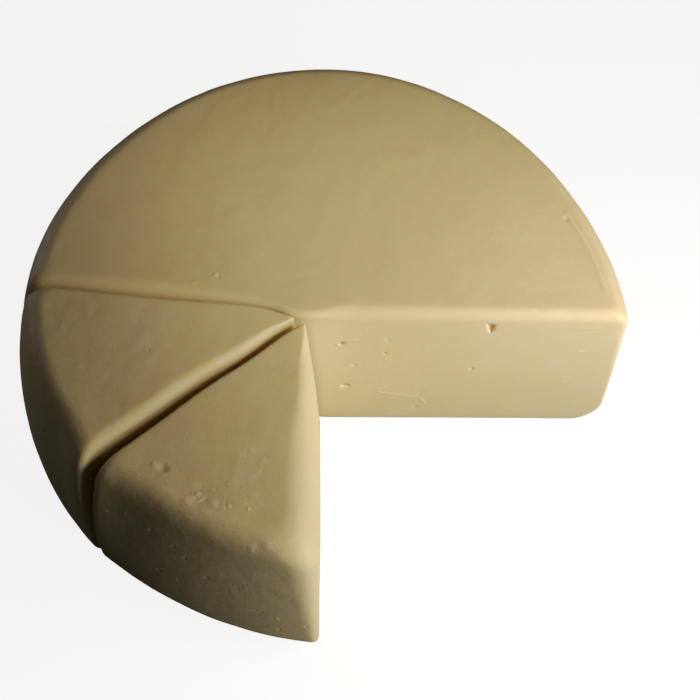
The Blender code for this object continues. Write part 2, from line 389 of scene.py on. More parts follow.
MARKS = {
    "back_piece": (
        Chip(((77.3, -22.5, 88.2), (82.7, -22.6, 86.4), (81.0, -22.6, 78.9)), 3.2, 1),
        Mark((12.6, -23.1, 70.4), 1.2, -1.5, 0.5, longer=1.5, along=(0.3, 0, 1)),
        Mark((10.9, -23.1, 69.5), 1.0, 0.4, 0.3, pale=0.5),
        Mark((15.2, -23.0, 33.3), 1.7, -2.2, 0.5, longer=1.45),
        Mark((12.4, -23.0, 31.0), 1.7, 0.4, 0.3, pale=0.5, longer=1.5, along=(1, 0, -0.5)),
        Mark((33.9, -22.9, 73.9), 0.8, -0.8, 0.3),
        Mark((32.9, -22.9, 62.2), 0.9, -0.9, 0.3),
        Mark((31.6, -23.0, 63.1), 0.9, 0.2, 0.2, pale=0.3),
        Mark((19.2, -23.0, 74.4), 0.6, -0.6, 0.3),
        Mark((75.3, -22.8, 49.1), 1.0, -0.7, 0.3),
        Mark((50.6, -22.9, 13.0), 0.9, -0.8, 0.3),
        Mark((123.3, -22.8, 37.8), 0.6, -0.5, 0.3),
        Mark((51.6, -22.8, 66.4), 0.9, 0.2, 0.3, pale=0.6),
        Mark((58.1, -22.8, 32.8), 0.7, 0.15, 0.3, pale=0.6),
        Mark((125.0, -22.8, 64.9), 1.3, 0.15, 0.3, pale=0.5, longer=1.8),
        Line(((31.0, -22.9, 27.4), (52.4, -22.8, 22.1), (55.2, -22.8, 16.6)), 0.9, 0.22, 0.3),
        Line(((31.2, -22.9, 31.2), (38.0, -22.9, 29.8)), 1.2, 0.12, 0.45),
        Line(((66.1, -22.6, 86.0), (93.4, -22.6, 85.3), (130.3, -22.8, 83.8)), 0.9, 0.10, 0.05),
        Mark((98.8, -19.5, 94.6), 2.0, 0.15, 0.2, pale=0.55, longer=1.8),
        Mark((104.9, -21.1, 94.0), 1.8, 0.15, 0.2, pale=0.45, longer=2.0),
        Mark((76.2, -13.2, 95.1), 0.8, 0.12, 0.2, pale=0.5),
        Line(((119.4, 37.6, 94.0), (128.2, 14.8, 93.8), (132.8, -8.5, 93.7)), 1.6, 0.30, 0.1),
        Mark((118.6, 52.8, 93.5), 1.1, 0.35, 0.3, pale=0.3),
        Mark((119.4, 33.8, 94.0), 2.4, -0.5, 0.1),
        Mark((-45.3, -2.1, 94.6), 1.4, 0.25, 0.3, pale=0.2),
        Mark((-43.6, -2.8, 94.6), 0.9, -0.4, 0.3),
        Mark((-54.5, -6.5, 94.6), 1.6, 0.2, 0.2, pale=0.2, longer=1.8),
    ),
    "left_wedge": (
        Mark((-106.7, -48.1, 94.1), 1.9, 0.06, 0.0, pale=0.30, longer=2.2, ragged=0.5),
        Mark((-101.5, -51.7, 94.2), 1.6, 0.06, 0.0, pale=0.35, longer=2.5, along=(1, 1, 0), ragged=0.5),
        Mark((-89.5, -55.9, 94.5), 1.9, 0.07, 0.0, pale=0.28, longer=2.6, along=(0.3, 1, 0), ragged=0.5),
        Mark((-74.9, -38.3, 94.8), 5.5, 0.12, 0.0, pale=0.22),
        Mark((-71.9, -50.3, 94.9), 5.0, 0.10, 0.0, pale=0.20),
        Mark((-71.7, -43.2, 94.9), 0.9, -0.25, 0.3),
        Mark((-111.7, -30.8, 94.2), 1.2, 0.12, 0.2, pale=0.2, longer=2.0, along=(0.4, 1, 0)),
    ),
    "front_wedge": (
        Mark((-61.2, -100.1, 93.8), 2.8, -0.50, 0.0, longer=1.2, along=(1, -0.4, 0), ragged=0.0),
        # This pale raised spot paints the highlight on the dent's left wall, where it faces the light.
        Mark((-65.3, -98.4, 93.8), 2.1, 0.20, 0.0, pale=0.35),
        Mark((-29.6, -104.6, 93.9), 13.0, 0.05, 0.0, pale=0.20, ragged=0.5),
        Mark((-50.7, -114.7, 93.7), 3.0, 0.20, 0.1, pale=0.45, ragged=0.4),
        Mark((-46.5, -111.9, 93.7), 1.5, 0.22, 0.2, pale=0.35, ragged=0.4),
        Mark((-46.7, -113.4, 93.7), 1.0, -0.16, 0.2, ragged=0.4),
        Line(((-46.3, -115.5, 93.7), (-43.5, -113.2, 93.7)), 0.9, 0.20, 0.75, 0.4),
        Mark((-43.4, -114.8, 93.7), 1.2, -0.18, 0.2, ragged=0.4),
        Mark((-40.5, -109.9, 93.8), 2.0, 0.12, 0.1, pale=0.35, ragged=0.6),
        Mark((-39.8, -116.2, 93.7), 2.8, 0.20, 0.1, pale=0.45, ragged=0.4),
        Mark((-48.2, -107.5, 93.8), 3.6, 0.10, 0.0, pale=0.25, ragged=0.5),
        Mark((-37.4, -107.9, 93.8), 1.2, 0.08, 0.0, pale=0.30, ragged=0.5),
        Mark((-34.1, -107.5, 93.9), 1.9, 0.12, 0.1, pale=0.45, ragged=0.4),
        Mark((-33.6, -117.4, 93.7), 1.4, 0.26, 0.2, pale=0.75, longer=1.4, along=(0, 1, 0), ragged=0.4),
        Mark((-35.7, -118.2, 93.7), 1.0, 0.18, 0.2, pale=0.60, ragged=0.4),
        Line(((-34.9, -112.6, 93.8), (-34.7, -118.8, 93.7)), 0.7, -0.18, 0.0),
        Mark((-27.0, -113.9, 93.8), 1.2, 0.14, 0.1, pale=0.60, ragged=0.4),
        Mark((-27.6, -115.9, 93.8), 1.3, 0.08, 0.1, pale=0.35, ragged=0.5),
        Mark((-25.5, -118.4, 93.8), 1.2, 0.22, 0.2, pale=0.80, ragged=0.4),
        Mark((-22.9, -112.3, 93.8), 1.7, 0.08, 0.0, pale=0.40, ragged=0.5),
        Mark((-20.8, -116.2, 93.8), 1.8, 0.06, 0.0, pale=0.25, ragged=0.5),
        Mark((-15.1, -112.6, 93.9), 2.4, 0.08, 0.0, pale=0.25, ragged=0.4),
        Mark((-29.5, -94.7, 94.1), 1.3, 0.10, 0.1, pale=0.50, longer=1.4, along=(1, 0.6, 0), ragged=0.4),
        Mark((-24.8, -92.4, 94.2), 1.7, 0.08, 0.0, pale=0.40, longer=1.5, ragged=0.4),
        Mark((-25.8, -96.7, 94.1), 1.3, 0.08, 0.0, pale=0.35, ragged=0.4),
        Mark((-20.4, -97.0, 94.1), 2.7, 0.10, 0.0, pale=0.40, ragged=0.4),
        Mark((-22.7, -99.4, 94.0), 1.0, -0.10, 0.1, ragged=0.4),
        Mark((-22.0, -101.6, 94.0), 1.3, 0.16, 0.1, pale=0.75, ragged=0.4),
        Mark((-24.4, -103.8, 94.0), 1.3, 0.12, 0.1, pale=0.45, longer=1.4, ragged=0.4),
        Mark((-31.2, -102.0, 94.0), 3.4, 0.06, 0.0, pale=0.22, longer=1.3, along=(1, -0.7, 0), ragged=0.5),
        Mark((-31.4, -80.0, 94.3), 1.1, 0.16, 0.2, pale=0.80),
        Mark((-35.6, -78.3, 94.3), 0.7, 0.10, 0.2, pale=0.30),
        Mark((-17.5, -54.9, 94.7), 1.8, 0.08, 0.0, pale=0.35, ragged=0.4),
        Mark((-18.7, -58.6, 94.8), 1.3, 0.08, 0.0, pale=0.40, ragged=0.4),
        Mark((-23.8, -133.4, 90.4), 2.6, 0.14, 0.1, pale=0.45, ragged=0.4),
        Mark((-17.0, -133.3, 92.0), 4.2, 0.08, 0.0, pale=0.30, ragged=0.5),
        Mark((-57.4, -125.0, 71.0), 1.0, -0.35, 0.3),
        Mark((-58.1, -128.2, 43.4), 1.3, -0.40, 0.3),
        Mark((-66.7, -123.8, 42.7), 1.6, -0.55, 0.3, longer=1.4),
        Mark((-31.3, -137.8, 57.5), 1.2, -0.25, 0.2),
        Mark((-28.0, -138.5, 60.1), 1.4, 0.15, 0.1, pale=0.35, ragged=0.4),
        Mark((-26.7, -139.2, 57.1), 1.1, -0.22, 0.2),
        Mark((-33.7, -137.3, 54.4), 1.5, 0.10, 0.1, pale=0.30, ragged=0.4),
        Mark((-68.7, -118.2, 73.8), 0.8, 0.3, 0.4, pale=0.7),
        Mark((-87.2, -107.7, 69.8), 0.8, 0.3, 0.4, pale=0.7),
        Line(((-25.9, -140.7, 39.2), (-20.9, -141.9, 40.7)), 0.8, -0.55, 0.0),
        Mark((-15.3, -143.4, 36.3), 1.2, 0.25, 0.3, pale=0.4),
        Mark((-50.1, -67.2, 93.9), 1.1, -0.9, 0.5, pale=0.3, longer=1.8, along=(-0.785, -0.62, 0)),
    ),
}


def scattered_marks(shape, amount, seed):
    """Small eyes and pimples on the side of a piece, at places drawn from its own faces."""
    draw = np.random.default_rng(seed)
    side = [v for v in shape.verts if 0.012 < v.co.z < 0.080 and abs(v.normal.z) < 0.5]
    marks = []
    for number in draw.choice(len(side), size=amount, replace=False):
        reach, raised = draw.uniform(0.5, 1.1), draw.random() < 0.4
        height = draw.uniform(0.15, 0.3) if raised else -draw.uniform(0.4, 0.8)
        at = tuple(c / MM for c in side[number].co)
        marks.append(Mark(at, reach, height, 0.35, pale=0.4 if raised else 0.0))
    return marks


def nearness(mark, points):
    """0 at the middle of a mark and 1 at its border, for each point in millimetres."""
    if isinstance(mark, Mark):
        offset = points - np.array(mark.at)
        along = np.array(mark.along) / np.linalg.norm(mark.along)
        lengthwise = offset @ along
        across = np.sqrt(np.maximum(0.0, (offset**2).sum(axis=1) - lengthwise**2))
        return np.hypot(lengthwise / mark.longer, across) / mark.reach
    if isinstance(mark, Line):
        best = np.full(len(points), 1e9)
        for start, end in zip(mark.through, mark.through[1:]):
            start, end = np.array(start), np.array(end)
            run = end - start
            share = np.clip((points - start) @ run / (run @ run), 0, 1)
            taper = 1.0 if len(mark.through) > 2 else 1 - 0.4 * np.abs(2 * share - 1)
            best = np.minimum(best, np.linalg.norm(points - start - share[:, None] * run, axis=1) / taper)
        return best / mark.reach
    corners = np.array(mark.corners)
    middle = corners.mean(axis=0)
    facing = np.cross(corners[1] - corners[0], corners[2] - corners[0])
    facing /= np.linalg.norm(facing)
    worst = np.abs((points - middle) @ facing) / 4.0
    for start, end in zip(corners, np.roll(corners, -1, axis=0)):
        outward = np.cross(end - start, facing)
        outward /= np.linalg.norm(outward)
        worst = np.maximum(worst, ((points - middle) @ outward) / ((start - middle) @ outward))
    return worst


def height_of(mark, near, points):
    """How far a mark moves each point out, in millimetres."""
    if isinstance(mark, Chip):
        corners = np.array(mark.corners)
        far = np.linalg.norm(points - corners[mark.deepest], axis=1)
        slope = np.clip(1.15 - far / 8.0, 0.25, 1.0)
        return -mark.depth * slope * (1 - ease((near - 0.82) / 0.2))
    steep = mark.steep if isinstance(mark, Mark) else 0.0
    return mark.height * (1 - ease((near - steep) / (1 - steep)))


def refine(shape, marks, finest, passes):
    """Divides the edges near the marks until they are short enough to carry them."""
    for _ in range(passes):
        ends = np.array([(e.verts[0].co[:], e.verts[1].co[:]) for e in shape.edges])
        length = np.linalg.norm(ends[:, 0] - ends[:, 1], axis=1)
        centre = ends.mean(axis=1) / MM
        chosen = np.zeros(len(length), bool)
        for mark in marks:
            chosen |= (nearness(mark, centre) < REFINE_REACH) & (length > finest)
        shape.edges.ensure_lookup_table()
        edges = [shape.edges[i] for i in np.flatnonzero(chosen)]
        if not edges:
            break
        bmesh.ops.subdivide_edges(shape, edges=edges, cuts=1, use_grid_fill=True)
        many_sided = [f for f in shape.faces if len(f.verts) > 4 and f.calc_area() < 1e-4]
        bmesh.ops.triangulate(shape, faces=many_sided)


def carve(shape, marks, relief):
    """Moves the points out and in along their normals, and writes how pale each one is."""
    shape.normal_update()
    points = np.array([v.co[:] for v in shape.verts]) / MM
    normals = np.array([v.normal[:] for v in shape.verts])
    cut_layer = shape.verts.layers.float["cut"]
    cut = np.array([v[cut_layer] for v in shape.verts])
    on_table = points[:, 2] < 0.4
    broad = np.array([noise.noise(Vector(p) / BROAD_LENGTH) for p in points])
    fine = np.array([noise.noise(Vector(p) / FINE_LENGTH + Vector((7, 3, 1))) for p in points])
    drawn = np.array([noise.noise(Vector(p / DRAWN_LENGTHS)) for p in points])
    skin = SKIN_BROAD * broad + SKIN_FINE * fine
    face = FACE_BROAD * broad + FACE_DRAWN * drawn + FACE_FINE * fine
    out = skin * (1 - cut) + face * cut
    pale = np.zeros(len(points))
    rough = np.array([noise.noise(Vector(p) / RAGGED_LENGTH) for p in points])
    for mark in marks:
        near = nearness(mark, points) * (1 + mark.ragged * rough)
        out += height_of(mark, near, points)
        if mark.pale:
            pale = np.maximum(pale, mark.pale * (1 - ease(near)))
    out[on_table] = 0
    moved = (points + normals * (out * relief)[:, None]) * MM
    moved[:, 2] = np.maximum(moved[:, 2], 0.0)
    pale_layer = shape.verts.layers.float.new("pale")
    for vertex, place, tone in zip(shape.verts, moved, pale):
        vertex.co = place
        vertex[pale_layer] = tone


def make_piece(piece, seed, settings):
    """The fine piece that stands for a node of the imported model, with its marks carved in."""
    mesh = skin_of(piece)
    shape = bmesh.new()
    shape.from_mesh(mesh)
    bmesh.ops.recalc_face_normals(shape, faces=shape.faces)
    shape.normal_update()
    marks = list(MARKS[piece.name]) + scattered_marks(shape, settings.scattered, seed)
    refine(shape, marks, settings.finest, REFINE_PASSES)
    carve(shape, marks, settings.relief)
    shape.to_mesh(mesh)
    shape.free()
    mesh.shade_smooth()
    made = bpy.data.objects.new(piece.name + "_fine", mesh)
    bpy.context.scene.collection.objects.link(made)
    return made


def add_node(tree, kind, place, **values):
    """Adds a node at a place in the tree and sets its sockets and options by name."""
    node = tree.nodes.new(kind)
    node.location = place
    for key, value in values.items():
        name = key.replace("_", " ")
        if name in node.inputs:
            node.inputs[name].default_value = value
        else:
            setattr(node, key, value)
    return node


def new_group(name, inputs, outputs):
    """An empty shader node group with named sockets, and its input and output nodes."""
    tree = bpy.data.node_groups.new(name, "ShaderNodeTree")
    for socket, kind, value in inputs:
        made = tree.interface.new_socket(socket, in_out="INPUT", socket_type="NodeSocket" + kind)
        made.default_value = value
    for socket, kind in outputs:
        tree.interface.new_socket(socket, in_out="OUTPUT", socket_type="NodeSocket" + kind)
    return tree, tree.nodes.new("NodeGroupInput"), tree.nodes.new("NodeGroupOutput")


def mix_colours(tree, place, share, first, second):
    """A node that mixes two colours by a share, each a socket or a value."""
    node = add_node(tree, "ShaderNodeMix", place, data_type="RGBA")
    for socket, value in ((node.inputs[0], share), (node.inputs[6], first), (node.inputs[7], second)):
        if isinstance(value, bpy.types.NodeSocket):
            tree.links.new(value, socket)
        else:
            socket.default_value = value
    return node.outputs[2]


def arithmetic(tree, place, operation, first, second=0.0, third=0.0):
    """A math node on sockets or numbers."""
    node = add_node(tree, "ShaderNodeMath", place, operation=operation)
    for socket, value in zip(node.inputs, (first, second, third)):
        if isinstance(value, bpy.types.NodeSocket):
            tree.links.new(value, socket)
        else:
            socket.default_value = value
    return node.outputs[0]


def stretched(tree, place, source, scale):
    """The coordinates of a surface, scaled by a different amount along X, Y and Z."""
    node = add_node(tree, "ShaderNodeMapping", place)
    node.inputs["Scale"].default_value = scale
    tree.links.new(source, node.inputs["Vector"])
    return node.outputs[0]


def curd_group():
    """The colour of the curd: paler and warmer clouds, and fine flecks."""
    tree, given, result = new_group(
        "Curd",
        (
            ("Vector", "Vector", (0, 0, 0)),
            ("Curd", "Color", (0.7, 0.6, 0.3, 1)),
            ("Warm", "Color", (0.7, 0.5, 0.3, 1)),
            ("Pale", "Color", (0.8, 0.7, 0.5, 1)),
            ("Clouds", "Float", 0.5),
            ("Flecks", "Float", 0.2),
        ),
        (("Color", "Color"), ("Cloud", "Float")),
    )
    link = tree.links.new
    broad = add_node(tree, "ShaderNodeTexNoise", (-900, 300), Scale=16.0, Detail=2.0, Roughness=0.5)
    clouds = add_node(
        tree, "ShaderNodeTexNoise", (-900, 0), Scale=62.0, Detail=3.0, Roughness=0.55, Distortion=0.4,
    )
    flecks = add_node(tree, "ShaderNodeTexNoise", (-900, -300), Scale=620.0, Detail=2.0, Roughness=0.6)
    for node in (broad, clouds, flecks):
        link(given.outputs["Vector"], node.inputs["Vector"])
    spread_broad = add_node(tree, "ShaderNodeMapRange", (-700, 300))
    spread_broad.inputs["From Min"].default_value = 0.35
    spread_broad.inputs["From Max"].default_value = 0.65
    link(broad.outputs[0], spread_broad.inputs[0])
    spread_clouds = add_node(tree, "ShaderNodeMapRange", (-700, 0))
    spread_clouds.inputs["From Min"].default_value = 0.45
    spread_clouds.inputs["From Max"].default_value = 0.75
    link(clouds.outputs[0], spread_clouds.inputs[0])
    spread_flecks = add_node(tree, "ShaderNodeMapRange", (-700, -300))
    spread_flecks.inputs["From Min"].default_value = 0.5
    spread_flecks.inputs["From Max"].default_value = 0.75
    link(flecks.outputs[0], spread_flecks.inputs[0])
    amount, fleck_amount = given.outputs["Clouds"], given.outputs["Flecks"]
    warm_share = arithmetic(tree, (-500, 300), "MULTIPLY", spread_broad.outputs[0], amount)
    pale_share = arithmetic(tree, (-500, 0), "MULTIPLY", spread_clouds.outputs[0], amount)
    fleck_share = arithmetic(tree, (-500, -300), "MULTIPLY", spread_flecks.outputs[0], fleck_amount)
    warm = mix_colours(tree, (-300, 200), warm_share, given.outputs["Curd"], given.outputs["Warm"])
    half = arithmetic(tree, (-300, 0), "MULTIPLY", pale_share, 0.5)
    pale = mix_colours(tree, (-100, 100), half, warm, given.outputs["Pale"])
    flecked = mix_colours(tree, (100, 0), fleck_share, pale, given.outputs["Pale"])
    link(flecked, result.inputs["Color"])
    link(spread_clouds.outputs[0], result.inputs["Cloud"])
    return tree


def bloom_and_highlight_group():
    """A thin white bloom and the paler places of the carved marks, such as dried smears, and a painted
    highlight on one dent's wall: where they lie, from a mask and the surface itself.
    """
    tree, given, result = new_group(
        "Bloom",
        (
            ("Vector", "Vector", (0, 0, 0)),
            ("Color", "Color", (0.7, 0.6, 0.3, 1)),
            ("Bloom", "Color", (0.8, 0.75, 0.65, 1)),
            ("Mask", "Float", 0.0),
            ("Amount", "Float", 0.3),
        ),
        (("Color", "Color"), ("Mask", "Float")),
    )
    link = tree.links.new
    patch = add_node(
        tree, "ShaderNodeTexNoise", (-900, 200), Scale=38.0, Detail=4.0, Roughness=0.65, Distortion=0.6,
    )
    grain = add_node(tree, "ShaderNodeTexNoise", (-900, -100), Scale=420.0, Detail=3.0, Roughness=0.7)
    link(given.outputs["Vector"], patch.inputs["Vector"])
    link(given.outputs["Vector"], grain.inputs["Vector"])
    only_peaks = add_node(tree, "ShaderNodeMapRange", (-700, 200))
    only_peaks.inputs["From Min"].default_value = 0.58
    only_peaks.inputs["From Max"].default_value = 0.80
    link(patch.outputs[0], only_peaks.inputs[0])
    grained = add_node(tree, "ShaderNodeMapRange", (-700, -100))
    grained.inputs["From Min"].default_value = 0.35
    grained.inputs["From Max"].default_value = 0.65
    link(grain.outputs[0], grained.inputs[0])
    thin = arithmetic(tree, (-500, 200), "MULTIPLY", only_peaks.outputs[0], grained.outputs[0])
    thin = arithmetic(tree, (-350, 200), "MULTIPLY", thin, given.outputs["Amount"])
    uneven = arithmetic(tree, (-500, -100), "MULTIPLY_ADD", grained.outputs[0], 0.5, 0.6)
    carved = arithmetic(tree, (-350, -100), "MULTIPLY", given.outputs["Mask"], uneven)
    mask = arithmetic(tree, (-200, 0), "MAXIMUM", thin, carved)
    # The mask carries the carved paleness, the painted highlight on the front wedge's dent among it.
    with_bloom_and_highlight = mix_colours(tree, (0, 100), mask, given.outputs["Color"], given.outputs["Bloom"])
    link(with_bloom_and_highlight, result.inputs["Color"])
    link(mask, result.inputs["Mask"])
    return tree


def skin_relief_group():
    """The fine relief of the moulded skin and of the cut faces, and how rough they are."""
    tree, given, result = new_group(
        "Skin Relief",
        (
            ("Vector", "Vector", (0, 0, 0)),
            ("Cut", "Float", 0.0),
            ("Pores", "Float", 0.4),
            ("Knife Lines", "Float", 0.4),
            ("Roughness", "Float", 0.45),
        ),
        (("Height", "Float"), ("Roughness", "Float")),
    )
    link = tree.links.new
    pores = add_node(tree, "ShaderNodeTexVoronoi", (-900, 300), Scale=310.0, Randomness=1.0)
    grain = add_node(tree, "ShaderNodeTexNoise", (-900, 0), Scale=900.0, Detail=3.0, Roughness=0.55)
    soft = add_node(tree, "ShaderNodeTexNoise", (-900, -250), Scale=150.0, Detail=2.0, Roughness=0.5)
    for node in (pores, grain, soft):
        link(given.outputs["Vector"], node.inputs["Vector"])
    lines = add_node(tree, "ShaderNodeTexNoise", (-900, -500), Scale=1.0, Detail=3.0, Roughness=0.6)
    link(stretched(tree, (-1100, -500), given.outputs["Vector"], (22, 22, 620)), lines.inputs["Vector"])
    holes = add_node(tree, "ShaderNodeMapRange", (-700, 300))
    holes.inputs["From Min"].default_value = 0.0
    holes.inputs["From Max"].default_value = 0.28
    link(pores.outputs["Distance"], holes.inputs[0])
    pore_height = arithmetic(tree, (-500, 300), "MULTIPLY", holes.outputs[0], given.outputs["Pores"])
    skin = arithmetic(tree, (-500, 100), "MULTIPLY_ADD", soft.outputs[0], 1.6, pore_height)
    skin = arithmetic(tree, (-350, 100), "MULTIPLY_ADD", grain.outputs[0], 0.35, skin)
    drawn = arithmetic(tree, (-500, -400), "MULTIPLY", lines.outputs[0], given.outputs["Knife Lines"])
    face = arithmetic(tree, (-350, -300), "MULTIPLY_ADD", grain.outputs[0], 0.45, drawn)
    face = arithmetic(tree, (-350, -150), "MULTIPLY_ADD", soft.outputs[0], 0.7, face)
    both = add_node(tree, "ShaderNodeMix", (-150, 0), data_type="FLOAT")
    link(given.outputs["Cut"], both.inputs[0])
    link(skin, both.inputs[2])
    link(face, both.inputs[3])
    link(both.outputs[0], result.inputs["Height"])
    varied = arithmetic(tree, (-350, -650), "MULTIPLY_ADD", soft.outputs[0], 0.22, -0.11)
    duller = arithmetic(tree, (-350, -800), "MULTIPLY_ADD", given.outputs["Cut"], 0.06, varied)
    roughness = arithmetic(tree, (-150, -650), "ADD", duller, given.outputs["Roughness"])
    link(roughness, result.inputs["Roughness"])
    return tree


def shared_group(name, build):
    """The shader node group of that name, built the first time that a material asks for it."""
    return bpy.data.node_groups.get(name) or build()


def place_group(tree, name, build, place, **values):
    """Puts a shared group into a material with its own values."""
    node = tree.nodes.new("ShaderNodeGroup")
    node.node_tree = shared_group(name, build)
    node.location = place
    for key, value in values.items():
        node.inputs[key.replace("_", " ")].default_value = value
    return node


def cheese_material(name, shift, looks):
    """The waxy, slightly translucent finish of one piece; shift moves its clouds to other places."""
    material = bpy.data.materials.new(name)
    material.use_nodes = True
    tree = material.node_tree
    link = tree.links.new
    shader = tree.nodes["Principled BSDF"]
    place = add_node(tree, "ShaderNodeTexCoord", (-1500, 0))
    moved = add_node(tree, "ShaderNodeMapping", (-1300, 0))
    moved.inputs["Location"].default_value = shift
    link(place.outputs["Object"], moved.inputs["Vector"])
    cut = add_node(tree, "ShaderNodeAttribute", (-1300, -400), attribute_name="cut")
    pale = add_node(tree, "ShaderNodeAttribute", (-1300, -600), attribute_name="pale")
    curd = place_group(
        tree, "Curd", curd_group, (-1000, 200),
        Curd=looks.curd, Warm=looks.warm, Pale=looks.pale, Clouds=looks.clouds, Flecks=looks.flecks,
    )
    bloom = place_group(tree, "Bloom", bloom_and_highlight_group, (-750, 200), Bloom=looks.bloom, Amount=looks.bloom_amount)
    relief = place_group(
        tree, "Skin Relief", skin_relief_group, (-1000, -300),
        Pores=looks.pores, Knife_Lines=looks.knife_lines, Roughness=looks.roughness,
    )
    for node in (curd, bloom, relief):
        link(moved.outputs[0], node.inputs["Vector"])
    link(cut.outputs["Fac"], relief.inputs["Cut"])
    link(curd.outputs["Color"], bloom.inputs["Color"])
    # The carved paleness feeds the bloom mask, and the painted highlight on the front wedge's dent is part of
    # it.
    link(pale.outputs["Fac"], bloom.inputs["Mask"])
    link(bloom.outputs["Color"], shader.inputs["Base Color"])
    mask, roughness = bloom.outputs["Mask"], relief.outputs["Roughness"]
    # Rougher where the carved marks are pale, including the spot of the painted highlight.
    dried = arithmetic(tree, (-500, -100), "MULTIPLY_ADD", mask, 0.25, roughness)
    link(dried, shader.inputs["Roughness"])
    bump = add_node(tree, "ShaderNodeBump", (-500, -350), Strength=looks.bump, Distance=0.0004)
    link(relief.outputs["Height"], bump.inputs["Height"])
    link(bump.outputs["Normal"], shader.inputs["Normal"])
    shader.inputs["Metallic"].default_value = 0.0
    shader.inputs["IOR"].default_value = 1.45
    shader.inputs["Specular IOR Level"].default_value = looks.specular
    shader.inputs["Subsurface Weight"].default_value = looks.translucency
    shader.inputs["Subsurface Radius"].default_value = (1.0, 0.62, 0.26)
    shader.inputs["Subsurface Scale"].default_value = looks.depth
    return material


def finish_piece(piece, seed, shift, node):
    """Makes a piece of cheese, gives it its finish and puts it in the place of its node."""
    settings = bpy.context.scene.kasseri_shape
    made = make_piece(piece, seed, settings)
    made.data.materials.append(cheese_material(piece.name + "_curd", shift, bpy.context.scene.kasseri_looks))
    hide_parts(node)
    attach(made, "root")


class KasseriShape(bpy.types.PropertyGroup):
    """Sizes of the fine surface."""

    finest: bpy.props.FloatProperty(
        name="Finest Edge", description="Length below which an edge near a mark isn't divided",
        default=0.00035, min=0.0001, precision=5, unit="LENGTH",
    )
    relief: bpy.props.FloatProperty(
        name="Relief", description="How strongly the marks are carved", default=1.0, min=0.0,
        subtype="FACTOR",
    )
    scattered: bpy.props.IntProperty(
        name="Scattered Eyes", description="Small eyes and pimples on the side of each piece",
        default=16, min=0,
    )


class KasseriLooks(bpy.types.PropertyGroup):
    """Colours and finish of the cheese."""

    curd: bpy.props.FloatVectorProperty(
        name="Curd", description="Colour of the curd", default=(0.715, 0.585, 0.310, 1.0),
        size=4, min=0.0, max=1.0, subtype="COLOR",
    )
    warm: bpy.props.FloatVectorProperty(
        name="Warm", description="Colour of its warmer clouds", default=(0.70, 0.565, 0.275, 1.0),
        size=4, min=0.0, max=1.0, subtype="COLOR",
    )
    pale: bpy.props.FloatVectorProperty(
        name="Pale", description="Colour of its paler clouds and flecks", default=(0.745, 0.645, 0.395, 1.0),
        size=4, min=0.0, max=1.0, subtype="COLOR",
    )
    # The dried bloom's colour, which the painted highlight on the front wedge's dent also takes.
    bloom: bpy.props.FloatVectorProperty(
        name="Bloom", description="Colour of the dried bloom", default=(0.82, 0.74, 0.58, 1.0),
        size=4, min=0.0, max=1.0, subtype="COLOR",
    )
    clouds: bpy.props.FloatProperty(
        name="Clouds", description="How strong the clouds are", default=0.6, min=0.0, max=1.0,
        subtype="FACTOR",
    )
    flecks: bpy.props.FloatProperty(
        name="Flecks", description="How strong the fine flecks are", default=0.2, min=0.0, max=1.0,
        subtype="FACTOR",
    )
    bloom_amount: bpy.props.FloatProperty(
        name="Bloom Amount", description="How much thin bloom lies on the skin", default=0.35,
        min=0.0, max=1.0, subtype="FACTOR",
    )
    pores: bpy.props.FloatProperty(
        name="Pores", description="Depth of the pores", default=0.35, min=0.0, max=1.0, subtype="FACTOR",
    )
    knife_lines: bpy.props.FloatProperty(
        name="Knife Lines", description="Depth of the lines that the knife drew", default=0.8,
        min=0.0, max=2.0, subtype="FACTOR",
    )
    bump: bpy.props.FloatProperty(
        name="Bump", description="Strength of the fine relief", default=0.45, min=0.0, max=1.0,
        subtype="FACTOR",
    )
    roughness: bpy.props.FloatProperty(
        name="Roughness", description="Roughness of the waxy surface", default=0.46,
        min=0.0, max=1.0, subtype="FACTOR",
    )
    specular: bpy.props.FloatProperty(
        name="Gloss", description="Strength of the reflections", default=0.42, min=0.0, max=1.0,
        subtype="FACTOR",
    )
    translucency: bpy.props.FloatProperty(
        name="Translucency", description="Share of the light that travels inside the curd", default=0.7,
        min=0.0, max=1.0, subtype="FACTOR",
    )
    depth: bpy.props.FloatProperty(
        name="Light Depth", description="How far light travels inside the curd", default=0.007,
        min=0.0, precision=4, unit="LENGTH",
    )


class KasseriStage(bpy.types.PropertyGroup):
    """The table, the light and the camera."""

    key_power: bpy.props.FloatProperty(
        name="Key Light", description="Power of the low soft light at the front right", default=1.12, min=0.0,
        unit="POWER",
    )
    side_power: bpy.props.FloatProperty(
        name="Side Light", description="Power of the higher, closer light at the right",
        default=0.82, min=0.0, unit="POWER",
    )
    pool_power: bpy.props.FloatProperty(
        name="Pool Light", description="Power of the soft spot on the middle of the top",
        default=74.0, min=0.0, unit="POWER",
    )
    fill_power: bpy.props.FloatProperty(
        name="Fill Light", description="Power of the weak light at the back left", default=0.30, min=0.0,
        unit="POWER",
    )
    air_light: bpy.props.FloatProperty(
        name="Air Light", description="Strength of the light from all round", default=0.009, min=0.0,
    )
    table_tone: bpy.props.FloatProperty(
        name="Table Tone", description="How bright the table is in the shade", default=1.3, min=0.0,
    )
    lens: bpy.props.FloatProperty(
        name="Lens", description="Focal length of the camera on a 36 mm sensor", default=61.12, min=1.0,
        unit="CAMERA",
    )


class KASSERI_OT_back_piece(bpy.types.Operator):
    """Makes the large back piece, with the long cut face at the right"""

    bl_idname = "kasseri.back_piece"
    bl_label = "Back Piece"

    def execute(self, context):
        finish_piece(BACK_PIECE, 11, (0.0, 0.0, 0.0), "back_piece")
        return {"FINISHED"}


